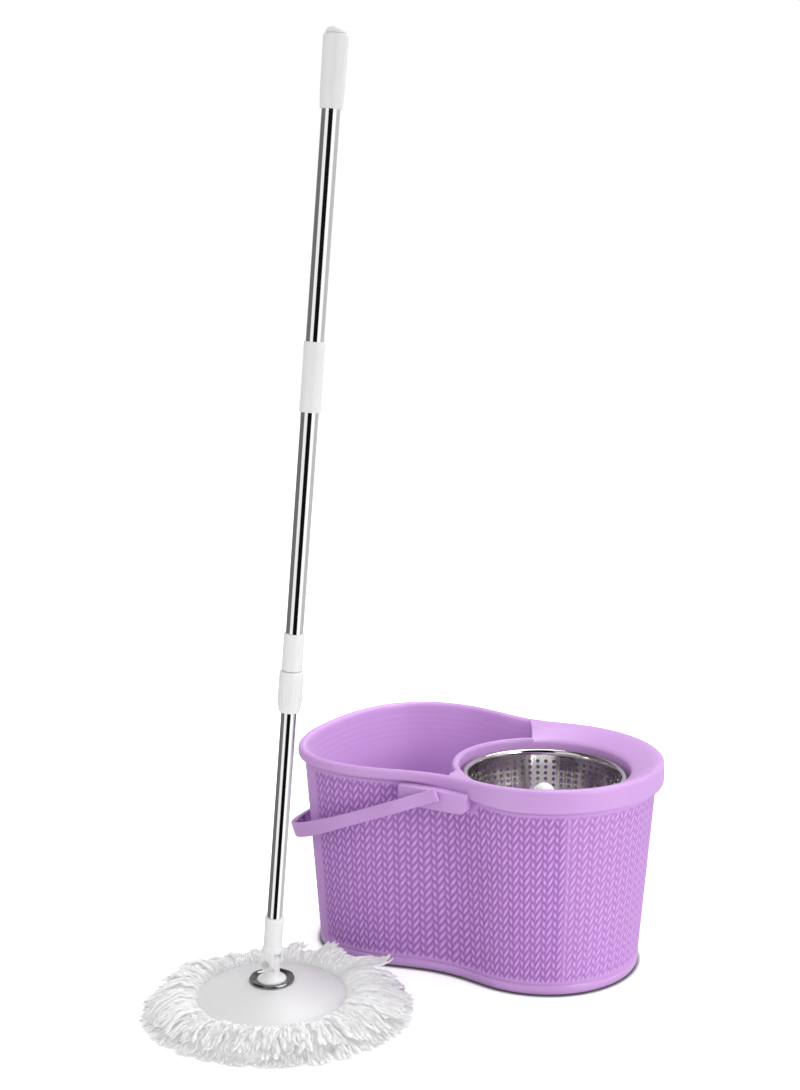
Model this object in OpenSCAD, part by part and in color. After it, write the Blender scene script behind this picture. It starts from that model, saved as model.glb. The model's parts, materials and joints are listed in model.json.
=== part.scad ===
// Spin mop set: a two-chamber bucket with a spin basket and a bail, and a mop whose handle is
// pushed down to spin its head. Millimetres, +Z up.
// The origin is on the floor, between the wash lobe (-X) and the spinner lobe (+X).

/* [Bucket] */
// Height of the rim above the floor
bucket_h = 255; // [245:1:265]
// Half-length of the wash lobe, from its widest section to its end
wash_a = 125; // [120:1:128]
// Half-width of the wash lobe
wash_b = 161; // [157:0.5:162]
// Radius of the spinner lobe
spin_r = 147; // [145:0.5:150]
// Half-width of the waist between the lobes
waist_b = 140; // [138:0.5:142]
// How far the wall leans in from rim to floor
draft = 20; // [16:1:24]
// How far the rim stands out over the wall
rim_out = 7; // [5:0.5:8]
// Thickness of the wall
wall_t = 3; // [2.5:0.5:4]
// Depth of the rim band round the wash lobe
band_wash = 11; // [9:1:13]
// Depth of the rim band round the spinner lobe
band_spin = 26; // [20:1:28]

/* [Spin basket] */
// Outer radius of the basket's rolled rim
basket_r = 100; // [96:1:101]
// Height of the rim above the floor
basket_z = 232; // [230:1:234]
// Depth of the basket
basket_d = 90; // [84:1:92]
// Radius of the splash collar round the basket
collar_r = 104.5; // [104:0.5:106]

/* [Bail] */
// Distance from the pivots to the crossbar
bail_reach = 258; // [256:1:270]
// Width of the strap, across the swing
strap_w = 15; // [12:1:16]
// Thickness of the strap
strap_t = 5; // [4:0.5:6]
// Angle below level at which the bail rests
bail_droop = 22.4; // [20:0.2:24]

/* [Mop head] */
// Radius of the disc that carries the refill
plate_r = 84; // [80:1:86]
// Radius of the microfibre fringe
yarn_r = 150; // [140:1:150]
// Height of the tilt pin above the floor
pivot_z = 58; // [57:0.5:60]

/* [Handle] */
// Lean of the handle from upright, towards +X
lean = 5.4; // [0:0.1:8]
// Outer radius of the upper and middle tubes
outer_r = 9.5; // [9.5:0.1:9.8]
// Outer radius of the lower tube
inner_r = 8.6; // [8.5:0.1:8.6]
// Wall of every tube
tube_t = 0.5; // [0.4:0.1:0.5]
// Advance of the spiral rod in one turn
lead = 80; // [70:1:100]

/* [Hidden] */
$fn = 64;

lilac = "#c39ae0";
white = "#f1f1f1";
steel = "#c4c7cb";

// Plan of the bucket
wash_x = -108;      // widest section of the wash lobe
spin_x = 75;        // centre of the spinner lobe
waist_x = 9;        // narrowest section
wash_power = 2.4;   // the wash lobe's end is a little squarer than an ellipse
end_n = 24;         // steps round each end
side_n = 12;        // steps along each side
floor_t = 4;
rim_w = 11;         // width of the rim from its outer face to the inner wall
foot_h = 10;        // height of the plain band at the foot

// Deck over the spinner lobe
basket_x = 78;
deck_gap = 0.5;
lip_r = 113;        // outer radius of the collar's free lip
lip_z = 243;
deck_back = 121;    // angle at which the lip meets the deck, at the back
deck_front = 222;   // and at the front
well_z = 240;
well_low = 190;

// Spindle
tower_h = 122;
spindle_r = 4;
bush_r = 7;
hub_r = 24;
hub_screw_pcd_r = 17;
hub_screw_r = 1.6;
sheet_t = 1.2;
basket_floor = basket_z - basket_d;
hub_top = 218;

// Bail
bail_x = 3;
bail_z = 234;
bail_y = 163;       // inner face of each arm beside the lobes
boss_y = 156.5;     // inner face of each arm at its pivot
pad_y = 153;        // outer face of the pivot pads
bail_pin_r = 6;
grip_half = 118;    // half-length of the thicker hand grip in the crossbar
grip_depth = 8;
bow_x = -108;        // where each arm starts to bow round the wash lobe, from the pivots
bow_power = 2.7;    // the bow is squarer than an ellipse, like the lobe
bow_n = 14;         // steps round each half of the bow
bail_pin_gap = 0.06;

// Mop head
mop_x = -127;
mop_y = -291;
spindle_boss_r = 7;
neck_y = 6;         // half-width of the knuckle between the yoke's ears
tilt_pin_r = 2.5;
run_gap = 0.06;     // radial clearance of a running fit

// Heights along the shaft, from the tilt pin
ferrule_low = 12;
ferrule_top = 54.5;
ring_low = 297;
ring_top = 343.5;
collar_top = 385.5;
tube_low_top = 404;
nut_low = 370;
nut_h = 18;
tube_low = 26;
cup_low = 366;
cup_floor = 2.5;
rod_low = 364;
rod_h = 240;
sleeve_low = 625.5;
sleeve_top = 699;
grip_low = 931.5;
grip_top = 1004;
joint_s = 661;      // face between the coupling's plug and socket
bore_r = outer_r - tube_t;

// ---- shared functions and shapes ----

function smooth(t) = let(u = min(1, max(0, t))) u * u * (3 - 2 * u);
function squared(u, power) = sign(u) * pow(abs(u), 2 / power);

// Half-width of the bucket between its two lobes
function side_y(x) = x < waist_x
    ? (wash_b + waist_b) / 2 + (wash_b - waist_b) / 2 * cos(180 * (x - wash_x) / (waist_x - wash_x))
    : (spin_r + waist_b) / 2 - (spin_r - waist_b) / 2 * cos(180 * (x - waist_x) / (spin_x - waist_x));

// Rim outline seen from above, anticlockwise from the front of the spinner lobe
outline = concat(
    [for (i = [0:end_n]) let(a = 180 * i / end_n - 90) [spin_x + spin_r * cos(a), spin_r * sin(a)]],
    [for (i = [1:side_n - 1]) let(x = spin_x + (wash_x - spin_x) * i / side_n) [x, side_y(x)]],
    [for (i = [0:end_n]) let(a = 180 * i / end_n + 90)
        [wash_x + wash_a * squared(cos(a), wash_power), wash_b * squared(sin(a), wash_power)]],
    [for (i = [1:side_n - 1]) let(x = wash_x + (spin_x - wash_x) * i / side_n) [x, -side_y(x)]]
);
count = len(outline);
function outward(i) = let(d = outline[(i + 1) % count] - outline[(i + count - 1) % count])
    [d.y, -d.x] / norm(d);
function inset_point(i, inset) = outline[i] - inset * outward(i);

// Depth of the rim band, which grows towards the spinner lobe
function band(x) = band_wash + (band_spin - band_wash) * smooth((x + 40) / 150);

// One level of the bucket: the outline moved in by inset, at height z less part of the band
function level(inset, z, share = 0) =
    [for (i = [0:count - 1]) let(p = inset_point(i, inset)) [p.x, p.y, z - share * band(outline[i].x)]];

// Closed solid through a stack of levels, with a flat cap at each end
module skin(levels) {
    n = len(levels[0]);
    last = (len(levels) - 1) * n;
    polyhedron(
        points = [for (l = levels) each l],
        faces = concat(
            [[for (i = [0:n - 1]) i]],
            [for (j = [0:len(levels) - 2], i = [0:n - 1])
                let(a = j * n + i, b = j * n + (i + 1) % n) each [[a, a + n, b + n], [a, b + n, b]]],
            [[for (i = [n - 1:-1:0]) last + i]]
        )
    );
}

// Closed loop of sections, each a list of points that goes round anticlockwise seen along the loop
module loop_skin(sections) {
    m = len(sections);
    n = len(sections[0]);
    polyhedron(
        points = [for (s = sections) each s],
        faces = [for (j = [0:m - 1], i = [0:n - 1])
            [j * n + i, j * n + (i + 1) % n, (j + 1) % m * n + (i + 1) % n, (j + 1) % m * n + i]]
    );
}

module tube(r, bore, low, high) {
    translate([0, 0, low]) difference() {
        cylinder(r = r, h = high - low);
        translate([0, 0, -1]) cylinder(r = bore, h = high - low + 2);
    }
}
module at_basket() { translate([basket_x, 0, 0]) children(); }
module at_mop() { translate([mop_x, mop_y, 0]) children(); }
// Local +Z is the shaft, and zero is the tilt pin
module on_shaft() { translate([mop_x, mop_y, pivot_z]) rotate([0, lean, 0]) children(); }
module across(y, r, h) { translate([0, y, 0]) rotate([-90, 0, 0]) cylinder(r = r, h = h); }

// ---- bucket ----

// Flat pad under the rim that carries a bail pivot: its plan, cut to a plate with rounded lower corners
module pivot_pad(side) {
    half = 44;
    drop = 12;
    inner = [for (i = [0:count - 1]) if (outline[i].y * side > 0 && abs(outline[i].x - bail_x) < half)
        inset_point(i, rim_out + wall_t + 0.4)];
    first = inner[0];
    final = inner[len(inner) - 1];
    intersection() {
        translate([0, 0, 200]) linear_extrude(60)
            polygon(concat(inner, [[final.x, side * pad_y], [first.x, side * pad_y]]));
        translate([bail_x, side * 150, bail_z]) rotate([90, 0, 0]) translate([0, 0, -40])
            linear_extrude(80) union() {
                translate([0, -4]) square([2 * half, 20], center = true);
                translate([0, -drop]) square([2 * half - 16, 10], center = true);
                for (e = [-1, 1]) translate([e * (half - 8), -9]) circle(r = 8);
            }
    }
}

module bucket_shell() {
    foot = rim_out + draft;
    inner_low = foot + wall_t;
    skin([
        level(foot + 2, 0),
        level(foot - 1, 2.5),
        level(foot - 1.5, foot_h),
        level(foot - draft * (foot_h + 2) / bucket_h, foot_h + 2),
        level(rim_out + draft * (band_spin + 3) / bucket_h, bucket_h - 3, 1),
        level(1, bucket_h, 1),
        level(0, bucket_h + 2, 1),
        level(0.3, bucket_h - 4.5),
        level(1.6, bucket_h - 1.3),
        level(4, bucket_h),
        level(rim_w - 4, bucket_h),
        level(rim_w - 1.4, bucket_h - 1.5),
        level(rim_w - 0.4, bucket_h - 5),
        level(inner_low - 1, foot_h + 4),
        level(inner_low + 7, floor_t)
    ]);
}

module bucket_body() {
    color(lilac) difference() {
        union() {
            bucket_shell();
            for (side = [-1, 1]) pivot_pad(side);
            at_basket() cylinder(r1 = 34, r2 = 13, h = tower_h);
        }
        at_basket() {
            translate([0, 0, -0.01]) cylinder(r1 = 31, r2 = 9, h = tower_h - 32);
            translate([0, 0, tower_h - 28]) cylinder(r = spindle_r, h = 40);
        }
        for (side = [-1, 1]) translate([bail_x, 0, bail_z])
            across(side > 0 ? pad_y - 9 : -pad_y - 1, bail_pin_r + bail_pin_gap, 10);
    }
}

// Stations of the deck: [angle about the basket, outer radius, 1 on the lobe or 0 on the free lip]
function polar(p) = let(d = p - [basket_x, 0]) [atan2(d.y, d.x), norm(d), 1];
lobe_stations = [
    for (i = [count - side_n + 8:count - 1]) polar(inset_point(i, rim_w + deck_gap)),
    for (i = [0:end_n + side_n / 2 - 1]) polar(inset_point(i, rim_w + deck_gap))
];
lip_steps = 20;
lip_stations = concat(
    [for (k = [0:lip_steps]) [deck_back + (deck_front - deck_back) * k / lip_steps, lip_r, 0]],
    [[230, 121, 0], [237, 131, 0]]      // the lip runs out to the rim
);
function deck_section(a, r, lobe) = let(
        wall = collar_r + 2.5,
        edge = lobe == 1 ? well_z : lip_z,
        profile = [
            [collar_r, well_low], [wall, well_low], [wall, edge - 14],
            [r, lobe == 1 ? bucket_h - 14 : lip_z - 16],
            [r, lobe == 1 ? bucket_h - 6 : lip_z - 6],
            [r - 1.8, lobe == 1 ? bucket_h - 4 : lip_z - 1.6],
            lobe == 1 ? [(r + collar_r) / 2, (bucket_h + well_z) / 2 - 4] : [r - 4.2, lip_z],
            [collar_r + 1.4, lobe == 1 ? edge : edge - 1.2], [collar_r, edge - 4]
        ]) [for (q = profile) [basket_x + q.x * cos(a), q.x * sin(a), q.y]];

module spinner_deck() {
    color(lilac) loop_skin([for (s = concat(lobe_stations, lip_stations)) deck_section(s[0], s[1], s[2])]);
}

module spindle_pin() {
    color(steel) at_basket() translate([0, 0, tower_h - 28]) cylinder(r = spindle_r, h = 88);
}

module thrust_washer() {
    color(white) at_basket() tube(10, spindle_r + 0.3, tower_h, tower_h + 2);
}

// ---- basket ----

function arc(cx, cy, r, a0, a1, n) =
    [for (i = [0:n]) let(a = a0 + (a1 - a0) * i / n) [cx + r * cos(a), cy + r * sin(a)]];

module spin_basket() {
    top_r = basket_r - 6;
    low_r = basket_r - 14;
    bend = 10;
    color(steel) at_basket() difference() {
        rotate_extrude() polygon(concat(
            [[bush_r + 3.2, basket_floor]],
            arc(low_r - bend, basket_floor + bend, bend, -90, 0, 4),
            [[top_r, basket_z - 7], [top_r, basket_z - 3]],
            [[basket_r - 1, basket_z - 5], [basket_r, basket_z - 3]],
            [[basket_r - 0.8, basket_z - 0.8], [basket_r - 3, basket_z], [top_r - 0.4, basket_z - 0.6]],
            [[top_r - sheet_t, basket_z - 7]],
            arc(low_r - bend, basket_floor + bend, bend - sheet_t, 0, -90, 4),
            [[bush_r + 3.2, basket_floor + sheet_t]]
        ));
        at_hub_screws(basket_floor - 1, 4);
    }
}

module at_hub_screws(z, h, r = hub_screw_r) {
    for (k = [0:2]) rotate([0, 0, 120 * k]) translate([hub_screw_pcd_r, 0, z]) cylinder(r = r, h = h);
}

module basket_hub() {
    low = basket_floor + sheet_t;
    color(white) at_basket() difference() {
        union() {
            translate([0, 0, basket_floor - 10]) cylinder(r = bush_r + 3, h = 12);
            translate([0, 0, low]) cylinder(r = hub_r, h = 5);
            translate([0, 0, low + 5]) cylinder(r1 = 20, r2 = 14, h = hub_top - 14 - low - 5);
            translate([0, 0, hub_top - 14]) sphere(r = 14);
        }
        translate([0, 0, basket_floor - 11]) cylinder(r = bush_r, h = 58);
        at_hub_screws(low - 1, 5);
    }
}

module basket_bush() {
    color(white) at_basket() difference() {
        union() {
            translate([0, 0, tower_h + 2.2]) cylinder(r = 10, h = basket_floor - 10 - tower_h - 2.2);
            translate([0, 0, basket_floor - 10]) cylinder(r = bush_r, h = 57);
        }
        translate([0, 0, tower_h]) cylinder(r = spindle_r + run_gap, h = 100);
    }
}

module hub_clamp_plate() {
    color(white) at_basket() difference() {
        tube(hub_r, bush_r + 3, basket_floor - 8, basket_floor);
        at_hub_screws(basket_floor - 9, 10);
    }
}

module hub_screws() {
    color(steel) at_basket() {
        at_hub_screws(basket_floor - 8, 13);
        at_hub_screws(basket_floor - 10, 2, 3);
    }
}

// ---- bail ----

// One side of the strap seen from above, from the pivot almost to the middle, offset t from its inner face
function bail_side(t) = concat(
    [[10, boss_y + t], [-14, boss_y + t], [-48, bail_y + t]],
    [for (k = [0:bow_n]) let(a = 90 * k / (bow_n + 0.5)) [
        bow_x - (bail_reach - strap_t + t + bow_x) * pow(sin(a), 2 / bow_power),
        (bail_y + t) * pow(cos(a), 2 / bow_power)]]);
// The strap's plan between two such offsets
function bail_plan(low, high) = let(p = bail_side(high), q = bail_side(low), n = len(p)) concat(
    p, [for (i = [n - 1:-1:0]) [p[i].x, -p[i].y]],
    [for (v = q) [v.x, -v.y]], [for (i = [n - 1:-1:0]) q[i]]);

module bail_handle() {
    color(lilac) translate([bail_x, 0, bail_z]) rotate([0, -bail_droop, 0]) union() {
        translate([0, 0, -strap_w / 2]) linear_extrude(strap_w) polygon(bail_plan(0, strap_t));
        translate([0, 0, -strap_w / 2]) linear_extrude(strap_w) intersection() {
            polygon(bail_plan(strap_t - grip_depth, strap_t));
            translate([-bail_reach - 1, -grip_half]) square([bail_reach, 2 * grip_half]);
        }
        across(pad_y - 7, bail_pin_r, boss_y - pad_y + 8);
        across(-boss_y - 1, bail_pin_r, boss_y - pad_y + 8);
    }
}

// ---- mop head ----

module swivel_knuckle() {
    flange = 16.5;
    color(white) at_mop() difference() {
        union() {
            translate([0, 0, 16]) cylinder(r = spindle_boss_r, h = 24);
            translate([0, 0, 36.3]) cylinder(r = flange, h = 1.7);
            translate([0, 0, 38]) cylinder(r1 = flange, r2 = 9, h = 5);
            translate([-7.5, -neck_y, 40]) cube([15, 2 * neck_y, pivot_z - 40]);
            translate([0, 0, pivot_z]) across(-neck_y, 8, 2 * neck_y);
        }
        translate([0, 0, pivot_z]) across(-neck_y - 1, tilt_pin_r, 2 * neck_y + 2);
        translate([0, 0, 15]) cylinder(r = 2.5, h = 16);
    }
}

module tilt_pin() {
    color(steel) translate([mop_x, mop_y, pivot_z]) union() {
        across(-12.6, tilt_pin_r, 25.2);
        for (y = [-13.6, 11.8]) across(y, 3.8, 1.8);
    }
}

module retaining_washer() { color(steel) at_mop() tube(11, 2.5, 14.2, 16); }

module retaining_screw() {
    color(steel) at_mop() union() {
        translate([0, 0, 12]) cylinder(r = 2.5, h = 18);
        translate([0, 0, 10.4]) cylinder(r = 4.6, h = 3.8);
    }
}

// Height of the disc's top at radius r
plate_edge_z = 18;
plate_top_z = 35.7;
function plate_z(r) = plate_top_z - (plate_top_z - plate_edge_z) * pow(max(0, r - 18) / (plate_r - 18), 1.7);

module mop_plate() {
    steps = 7;
    radii = [for (i = [0:steps]) 18 + (plate_r - 18) * i / steps];
    color(white) at_mop() difference() {
        union() {
            rotate_extrude() polygon(concat(
                [[0, plate_top_z]],
                [for (r = radii) [r, plate_z(r)]],
                [[plate_r + 0.8, plate_edge_z - 1.5], [plate_r, plate_edge_z - 3.2]],
                [for (i = [steps:-1:0]) [radii[i] - (i == steps ? 2 : 0), plate_z(radii[i]) - 3.2]],
                [[0, plate_top_z - 3.2]]
            ));
            translate([0, 0, 16.4]) cylinder(r = 13, h = 18);
            tube(52, 49.5, 8, 31);
        }
        translate([0, 0, 10]) cylinder(r = spindle_boss_r + run_gap, h = 40);
    }
}

module hub_ring() {
    color(steel) at_mop() rotate_extrude() polygon([
        [17.2, plate_top_z + 0.1], [24.8, plate_top_z + 0.1], [25.6, 36.8], [25.4, 38.2], [24.2, 38.9],
        [22.4, 38.2], [20.4, 37], [17.2, 37]
    ]);
}

module refill_ring() { color(white) at_mop() tube(79, 52.4, 7, 13.4); }

module yarn() {
    color("white") at_mop() rotate_extrude() polygon([
        [40, 0], [yarn_r - 4, 0], [yarn_r, 4], [yarn_r - 1, 16], [yarn_r - 12, 31], [yarn_r - 30, 41],
        [110, 42], [95, 35], [plate_r + 2.4, 20], [plate_r + 2.4, 13.8], [79.2, 13.8], [79.2, 6.8], [40, 6.8]
    ]);
}

// ---- lower shaft ----

module yoke() {
    ear_in = neck_y + 0.35;
    ear_out = 11.4;
    color(white) on_shaft() difference() {
        union() {
            for (y = [-ear_out, ear_in]) {
                across(y, 8.4, ear_out - ear_in);
                translate([-8.4, y, 0]) cube([16.8, ear_out - ear_in, ferrule_low + 2]);
            }
            translate([0, 0, ferrule_low - 2]) cylinder(r = 11.4, h = 3);
            translate([0, 0, ferrule_low + 1]) cylinder(r1 = 11.4, r2 = 10.2, h = 5);
            translate([0, 0, ferrule_low + 6])
                cylinder(r1 = 10.2, r2 = 10.8, h = ferrule_top - ferrule_low - 6);
        }
        across(-ear_out - 1, tilt_pin_r + run_gap, 2 * ear_out + 2);
        translate([0, 0, tube_low]) cylinder(r = inner_r, h = 40);
    }
}

module lower_tube() { color(steel) on_shaft() tube(inner_r, inner_r - tube_t, tube_low, tube_low_top); }

module ratchet_cup() {
    cup_r = inner_r - tube_t;
    color(white) on_shaft() difference() {
        union() {
            translate([0, 0, cup_low]) cylinder(r = cup_r, h = tube_low_top - cup_low);
            translate([0, 0, tube_low_top]) cylinder(r = inner_r, h = 2);
        }
        translate([0, 0, cup_low - 6]) cylinder(r = 4.7, h = 20);
        translate([0, 0, cup_low + cup_floor]) cylinder(r = 6.2, h = 50);
    }
}

// Flat bar twisted along the shaft; the nut's slot is the same bar, grown by spare all round
module twisted_bar(spare, low, h) {
    half = [4 + spare, 1 + spare];
    corners = [[-1, -1], [-0.4, -1.06], [0.4, -1.06], [1, -1], [1, 1], [0.4, 1.06], [-0.4, 1.06], [-1, 1]];
    steps = ceil(h / 3);
    on_shaft() skin([for (k = [0:steps])
        let(z = low + h * k / steps, a = -360 * (z - rod_low) / lead)
        [for (c = corners) let(x = c.x * half.x, y = c.y * half.y)
            [x * cos(a) - y * sin(a), x * sin(a) + y * cos(a), z]]]);
}

module spiral_nut() {
    color("#3b3f45") difference() {
        on_shaft() translate([0, 0, nut_low]) cylinder(r = 5.9, h = nut_h);
        twisted_bar(0.4, nut_low - 3, nut_h + 6);
    }
}

module clutch_spring() {
    turns = 3;
    steps = 16 * turns;
    wire = 0.5;
    coil_r = 5.5;
    rise = 8.4;
    color(steel) on_shaft() translate([0, 0, nut_low + nut_h + 0.8]) skin([for (k = [0:steps])
        let(a = 360 * turns * k / steps, z = rise * k / steps)
        [for (q = [0:5]) let(b = 60 * q, r = coil_r + wire * cos(b))
            [r * cos(a), r * sin(a), z + wire * sin(b)]]]);
}

module nut_cap() { color(white) on_shaft() tube(6.2, 4.7, 398.5, tube_low_top + 2); }

module guide_bush() { color(white) on_shaft() tube(10.4, inner_r + run_gap, ring_low + 3, ring_low + 25); }

// ---- upper handle ----

module lock_collar() {
    color(white) on_shaft() difference() {
        union() {
            translate([0, 0, ring_low + 29]) cylinder(r = 10.8, h = ring_top - ring_low - 28.5);
            translate([0, 0, ring_top + 0.5]) cylinder(r1 = 11.5, r2 = 11.2, h = collar_top - ring_top - 0.5);
        }
        translate([0, 0, ring_low]) cylinder(r = outer_r, h = 120);
    }
}

module middle_tube() { color(steel) on_shaft() tube(outer_r, bore_r, ring_low + 29, joint_s - 6); }

module spiral_rod() { color(steel) twisted_bar(0, rod_low, rod_h); }

module rod_plug() {
    top = rod_low + rod_h;
    color(white) on_shaft() difference() {
        translate([0, 0, top - 10]) cylinder(r = bore_r, h = 16);
        translate([0, 0, top - 11]) cylinder(r = 4.3, h = 11);
    }
}

module coupling_plug() {
    color(white) on_shaft() union() {
        translate([0, 0, joint_s - 24]) cylinder(r = bore_r, h = 18);
        translate([0, 0, joint_s - 6]) cylinder(r = outer_r, h = 6);
        translate([0, 0, joint_s]) cylinder(r = 5, h = 20);
    }
}

module coupling_sleeve() { color(white) on_shaft() tube(11, outer_r, sleeve_low, sleeve_top); }

module coupling_socket() {
    color(white) on_shaft() difference() {
        union() {
            translate([0, 0, joint_s]) cylinder(r = outer_r, h = 6);
            translate([0, 0, joint_s + 6]) cylinder(r = bore_r, h = 22);
        }
        translate([0, 0, joint_s - 1]) cylinder(r = 5, h = 24);
    }
}

module upper_tube() { color(steel) on_shaft() tube(outer_r, bore_r, joint_s + 6, grip_top - 10); }

module grip() {
    color(white) on_shaft() difference() {
        union() {
            translate([0, 0, grip_low]) cylinder(r1 = 11.4, r2 = 12.4, h = 20);
            translate([0, 0, grip_low + 20]) cylinder(r1 = 12.4, r2 = 12.9, h = grip_top - grip_low - 23);
            translate([0, 0, grip_top - 3]) cylinder(r1 = 12.9, r2 = 11.6, h = 3);
        }
        translate([0, 0, grip_low - 1]) cylinder(r = outer_r, h = 100);
    }
}

module grip_cap() {
    color(white) on_shaft() union() {
        translate([0, 0, grip_top - 10]) cylinder(r = outer_r, h = 10);
        translate([0, 0, grip_top]) rotate_extrude() polygon(concat([[0, 0], [11, 0]],
            [for (i = [1:6]) [11 * cos(15 * i), 8 * sin(15 * i)]]));
    }
}

module lock_ring() {
    color(white) on_shaft() difference() {
        union() {
            translate([0, 0, ring_low]) cylinder(r1 = 11.6, r2 = 13, h = 8);
            translate([0, 0, ring_low + 8]) cylinder(r1 = 13, r2 = 13.4, h = ring_top - ring_low - 12);
            translate([0, 0, ring_top - 4]) cylinder(r1 = 13.4, r2 = 12.4, h = 4);
        }
        translate([0, 0, ring_low - 1]) cylinder(r = inner_r + 0.45, h = 10);
        translate([0, 0, ring_low + 2.6]) cylinder(r = 10.88, h = 50);
    }
}

bucket_body();
spinner_deck();
spindle_pin();
thrust_washer();
spin_basket();
basket_hub();
basket_bush();
hub_clamp_plate();
hub_screws();
bail_handle();
swivel_knuckle();
tilt_pin();
retaining_washer();
retaining_screw();
mop_plate();
hub_ring();
refill_ring();
yarn();
yoke();
lower_tube();
ratchet_cup();
spiral_nut();
clutch_spring();
nut_cap();
guide_bush();
lock_collar();
middle_tube();
spiral_rod();
rod_plug();
coupling_plug();
coupling_sleeve();
coupling_socket();
upper_tube();
grip();
grip_cap();
lock_ring();
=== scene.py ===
"""Looks of the spin mop set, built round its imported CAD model. Shapes are given in millimetres."""

import json
import math
import random

import bpy
import numpy as np
from mathutils import Matrix, Vector


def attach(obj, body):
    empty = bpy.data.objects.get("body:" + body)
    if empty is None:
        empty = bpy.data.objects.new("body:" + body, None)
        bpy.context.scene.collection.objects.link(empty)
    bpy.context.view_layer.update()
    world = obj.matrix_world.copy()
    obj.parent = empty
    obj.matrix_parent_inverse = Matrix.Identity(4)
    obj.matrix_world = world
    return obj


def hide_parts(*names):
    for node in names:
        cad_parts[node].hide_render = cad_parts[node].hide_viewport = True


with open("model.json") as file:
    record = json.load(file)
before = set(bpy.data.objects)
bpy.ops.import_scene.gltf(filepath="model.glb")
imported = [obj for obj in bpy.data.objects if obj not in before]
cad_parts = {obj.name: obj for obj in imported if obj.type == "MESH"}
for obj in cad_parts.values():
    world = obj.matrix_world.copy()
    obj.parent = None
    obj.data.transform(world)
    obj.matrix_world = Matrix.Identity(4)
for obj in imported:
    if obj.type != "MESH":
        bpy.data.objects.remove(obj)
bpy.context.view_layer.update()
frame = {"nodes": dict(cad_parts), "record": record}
nodes = frame["nodes"]
MM = 0.001

# ---- camera ----

YAW, PITCH = math.radians(-29.643), math.radians(8.56)
EYE = Vector((748.45, -1534.85, 763.14))        # millimetres
SENSOR, LENS = 36, 46.634862                    # the sensor's long side and the focal length
forward = Vector((math.sin(YAW) * math.cos(PITCH), math.cos(YAW) * math.cos(PITCH), -math.sin(PITCH)))
right = Vector((math.cos(YAW), -math.sin(YAW), 0))
up = right.cross(forward)
cam = bpy.data.objects.new("camera", bpy.data.cameras.new("camera"))
cam.data.lens = LENS
cam.data.sensor_width = SENSOR
cam.data.clip_end = 50
cam.matrix_world = Matrix.Translation(EYE * MM) @ Matrix((right, up, -forward)).transposed().to_4x4()
bpy.context.scene.collection.objects.link(cam)
bpy.context.scene.camera = cam
bpy.context.scene.view_settings.view_transform = "Standard"

# ---- materials ----


def material(name, base, rough, metallic=0.0, **sockets):
    m = bpy.data.materials.new(name)
    m.use_nodes = True
    shader = m.node_tree.nodes["Principled BSDF"]
    shader.inputs["Base Color"].default_value = (*base, 1)
    shader.inputs["Roughness"].default_value = rough
    shader.inputs["Metallic"].default_value = metallic
    for key, value in sockets.items():
        shader.inputs[key.replace("_", " ")].default_value = value
    return m, m.node_tree, shader


def noise(tree, scale, detail=3.0, stretch=None, distortion=0.0):
    """Noise in the object's own space; stretch scales it along each axis."""
    place = tree.nodes.new("ShaderNodeTexCoord")
    n = tree.nodes.new("ShaderNodeTexNoise")
    n.inputs["Scale"].default_value = scale
    n.inputs["Detail"].default_value = detail
    n.inputs["Distortion"].default_value = distortion
    if stretch:
        move = tree.nodes.new("ShaderNodeMapping")
        move.inputs["Scale"].default_value = stretch
        tree.links.new(place.outputs["Object"], move.inputs["Vector"])
        tree.links.new(move.outputs["Vector"], n.inputs["Vector"])
    else:
        tree.links.new(place.outputs["Object"], n.inputs["Vector"])
    return n.outputs["Fac"]


def ramp(tree, source, stops):
    r = tree.nodes.new("ShaderNodeValToRGB")
    r.color_ramp.elements[0].position, r.color_ramp.elements[-1].position = stops[0][0], stops[-1][0]
    r.color_ramp.elements[0].color = (*stops[0][1], 1)
    r.color_ramp.elements[-1].color = (*stops[-1][1], 1)
    for at, colour in stops[1:-1]:
        r.color_ramp.elements.new(at).color = (*colour, 1)
    tree.links.new(source, r.inputs["Fac"])
    return r.outputs["Color"]


def tint(c, k):
    return tuple(min(1, v * k) for v in c)


def vary(tree, shader, source, base, spread):
    tree.links.new(ramp(tree, source, [(0.3, tint(base, 1 - spread)), (0.7, tint(base, 1 + spread))]),
                   shader.inputs["Base Color"])


def map_range(tree, source, low, high, to_low=0.0, to_high=1.0):
    r = tree.nodes.new("ShaderNodeMapRange")
    for key, value in (("From Min", low), ("From Max", high), ("To Min", to_low), ("To Max", to_high)):
        r.inputs[key].default_value = value
    tree.links.new(source, r.inputs["Value"])
    return r


def vary_rough(tree, shader, source, low, high):
    r = map_range(tree, source, 0.3, 0.7, low, high)
    tree.links.new(r.outputs["Result"], shader.inputs["Roughness"])


def bump(tree, shader, source, strength, distance):
    b = tree.nodes.new("ShaderNodeBump")
    b.inputs["Strength"].default_value, b.inputs["Distance"].default_value = strength, distance
    tree.links.new(source, b.inputs["Height"])
    tree.links.new(b.outputs["Normal"], shader.inputs["Normal"])


LILAC = (0.53, 0.30, 0.63)
WHITE = (0.79, 0.79, 0.79)
YARN = (0.64, 0.64, 0.64)


def plastic(name, base, rough, spread, grain):
    m, tree, shader = material(name, base, rough, IOR=1.5)
    vary(tree, shader, noise(tree, 14, 4), base, spread)
    vary_rough(tree, shader, noise(tree, 60, 4), rough - 0.05, rough + 0.06)
    bump(tree, shader, noise(tree, 900, 2), grain, 0.0002)
    return m


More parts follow.
